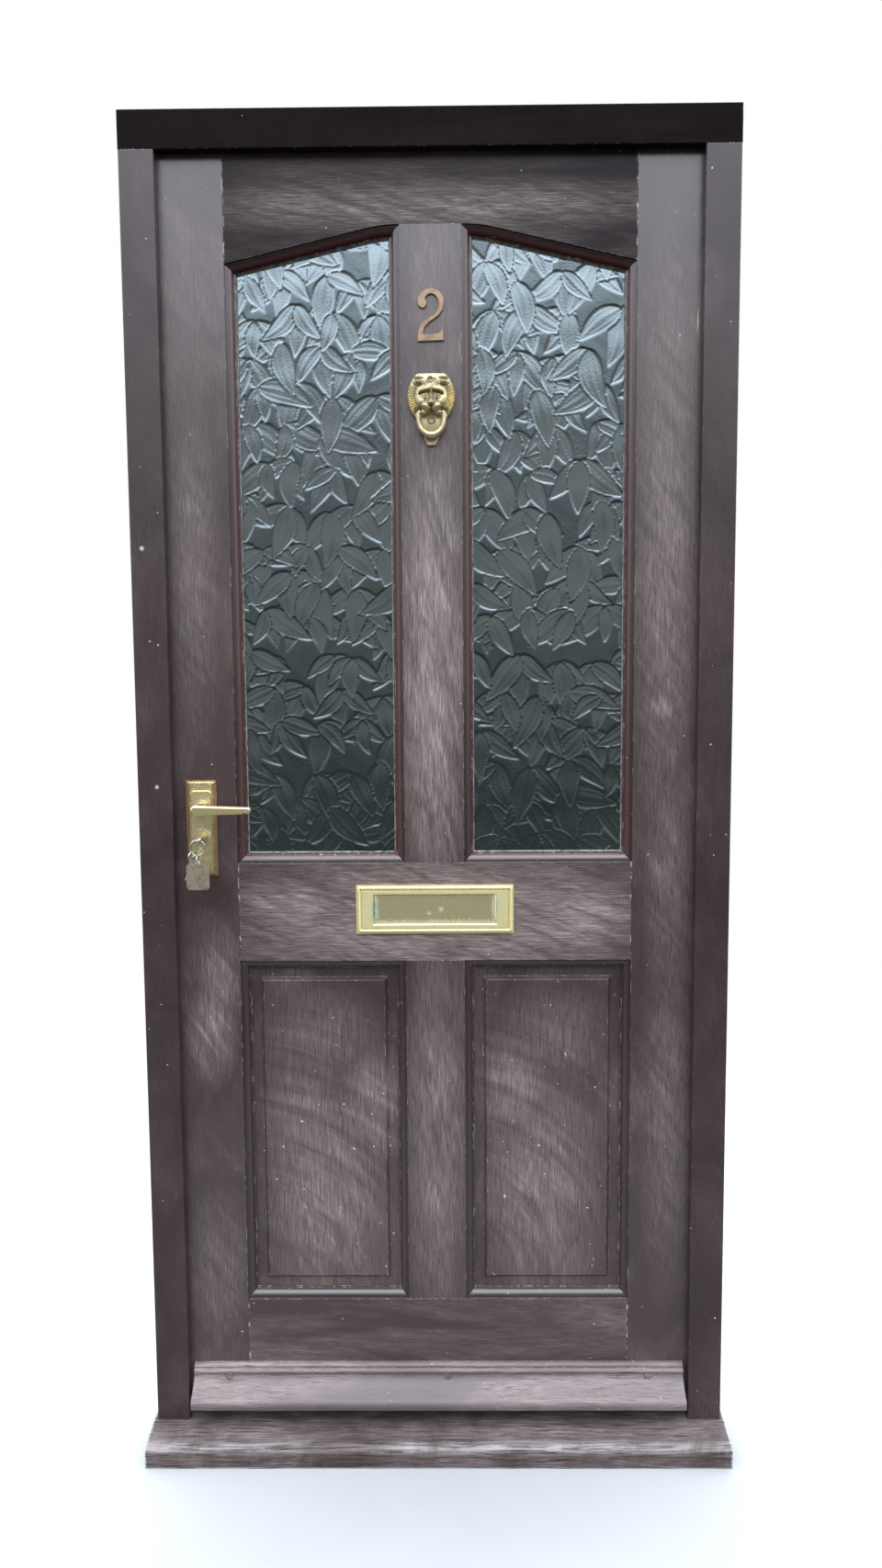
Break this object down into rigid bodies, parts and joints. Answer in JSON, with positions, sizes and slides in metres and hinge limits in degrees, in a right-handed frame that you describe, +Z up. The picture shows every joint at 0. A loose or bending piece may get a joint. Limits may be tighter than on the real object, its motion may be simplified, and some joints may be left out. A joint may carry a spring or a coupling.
{
  "type": "panelled front door",
  "caption": "Painted timber front door in its frame, with patterned glass over raised panels, a weatherboard, lever lock, letter plate and lion knocker; it swings inwards.",
  "frame": {"origin": "on the sill's underside, on the centre line, in the plane of the leaf's outer face", "axes": "+Z up, +Y into the house, +X to the right seen from outside"},
  "size_m": [0.936, 0.177, 2.095],
  "materials": {
    "painted_timber": "dark brown satin paint, worn",
    "oak_sill": "worn brown stain over hardwood",
    "patterned_glass": "leaf pattern, obscured",
    "sealant": "aged pale sealant",
    "polished_brass": "polished, slightly aged",
    "aged_brass": "dull aged brass",
    "steel": "satin",
    "galvanised": "galvanised, dull"
  },
  "bodies": {
    "frame": {"sill": "oak_sill", "water_bar": "galvanised", "jamb_left": "painted_timber", "jamb_right": "painted_timber", "frame_head": "painted_timber", "strike_plate": "polished_brass", "strike_screws": "polished_brass", "hinge_plates_frame": "steel", "hinge_pins": "steel", "hinge_screws_frame": "steel"},
    "levers": {"lever_outside": "polished_brass", "lever_inside": "polished_brass", "lever_spindle": "steel", "lock_follower": "steel"},
    "latch": {"latch_bolt": "polished_brass"},
    "bolt": {"dead_bolt": "steel"},
    "key": {"cylinder_plug": "polished_brass", "door_key": "steel"},
    "ring_set": {"key_ring": "steel", "tag_link": "steel", "key_tag": "steel", "spare_key": "steel"},
    "flap": {"letter_flap": "aged_brass"},
    "knocker": {"knocker_ring": "aged_brass"},
    "leaf": {"hinge_plates_leaf": "steel", "hinge_screws_leaf": "steel", "stile_lock": "painted_timber", "stile_hinge": "painted_timber", "top_rail": "painted_timber", "lock_rail": "painted_timber", "bottom_rail": "painted_timber", "muntin_upper": "painted_timber", "muntin_lower": "painted_timber", "panel_left": "painted_timber", "panel_right": "painted_timber", "glass_left": "patterned_glass", "glass_right": "patterned_glass", "glazing_beads_left": "painted_timber", "glazing_beads_right": "painted_timber", "glazing_sealant": "sealant", "weatherboard": "painted_timber", "weatherboard_screws": "steel", "weatherboard_pellets": "painted_timber", "lock_case": "galvanised", "lock_forend": "polished_brass", "forend_screws": "polished_brass", "cylinder_body": "polished_brass", "backplate_outside": "polished_brass", "backplate_inside": "polished_brass", "backplate_screws": "polished_brass", "letter_plate": "aged_brass", "letter_plate_bolts": "steel", "flap_pin": "aged_brass", "flap_spring": "steel", "knocker_head": "aged_brass", "knocker_screws": "aged_brass", "numeral_two": "aged_brass", "numeral_screws": "aged_brass"}
  },
  "joints": [
    {"name": "leaf_swing", "type": "hinge", "parent": "frame", "child": "leaf", "pos_m": [0.4205, 0.0505, 1.02], "axis": [0, 0, -1], "range_deg": [0, 105]},
    {"name": "lever_turn", "type": "hinge", "parent": "leaf", "child": "levers", "pos_m": [-0.367, 0.022, 1.055], "axis": [0, 1, 0], "range_deg": [0, 40], "stiffness_Nm_per_rad": 1.5, "springref_deg": -17.19},
    {"name": "latch_slide", "type": "slide", "parent": "leaf", "child": "latch", "axis": [-1, 0, 0], "range_m": [0, 0.011]},
    {"name": "key_turn", "type": "hinge", "parent": "leaf", "child": "key", "pos_m": [-0.367, 0, 1.007], "axis": [0, -1, 0], "range_deg": [0, 110]},
    {"name": "bolt_throw", "type": "slide", "parent": "leaf", "child": "bolt", "axis": [-1, 0, 0], "range_m": [0, 0.02]},
    {"name": "ring_hang", "type": "hinge", "parent": "key", "child": "ring_set", "pos_m": [-0.367, 0, 1.007], "axis": [0, -1, 0], "range_deg": [-111, 0]},
    {"name": "flap_swing", "type": "hinge", "parent": "leaf", "child": "flap", "pos_m": [0, -0.0013, 0.916], "axis": [1, 0, 0], "range_deg": [0, 75], "stiffness_Nm_per_rad": 0.02, "springref_deg": -28.65},
    {"name": "knocker_swing", "type": "hinge", "parent": "leaf", "child": "knocker", "pos_m": [0, -0.013, 1.656], "axis": [-1, 0, 0], "range_deg": [0, 95]}
  ],
  "couplings": [
    {"joint": "key_turn", "follows": "bolt_throw", "rad_per_m": 95.992},
    {"joint": "ring_hang", "follows": "bolt_throw", "rad_per_m": -95.992}
  ]
}
